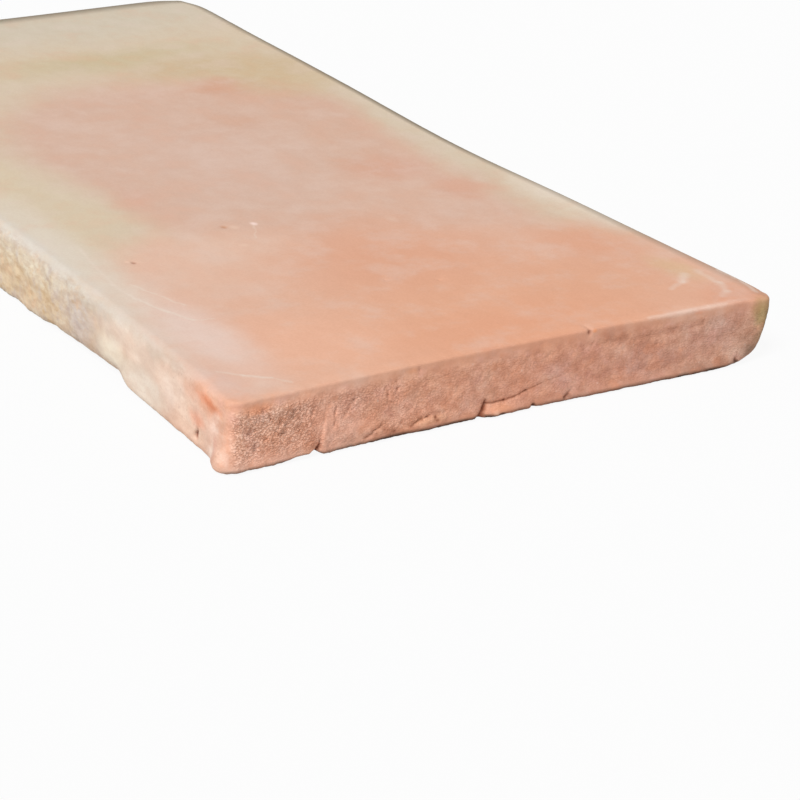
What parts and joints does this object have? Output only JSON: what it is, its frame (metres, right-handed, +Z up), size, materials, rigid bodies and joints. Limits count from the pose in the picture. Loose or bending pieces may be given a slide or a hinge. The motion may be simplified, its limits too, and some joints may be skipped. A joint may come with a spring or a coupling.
{
  "type": "terracotta floor tile",
  "caption": "Rectangular hand-moulded terracotta floor tile: a thick slab of fired clay with bowed edges, rounded corners and rough sanded walls, bedded flat as paving.",
  "frame": {"origin": "middle of the bed face, on the surface that the tile lies on", "axes": "+X across the width, +Y along the length away from the front end with the laps, +Z up out of the wear face"},
  "size_m": [0.2, 0.4001, 0.022],
  "materials": {
    "fired_clay": "matte, unglazed"
  },
  "bodies": {
    "root": {"terracotta_tile": "fired_clay"}
  },
  "joints": []
}
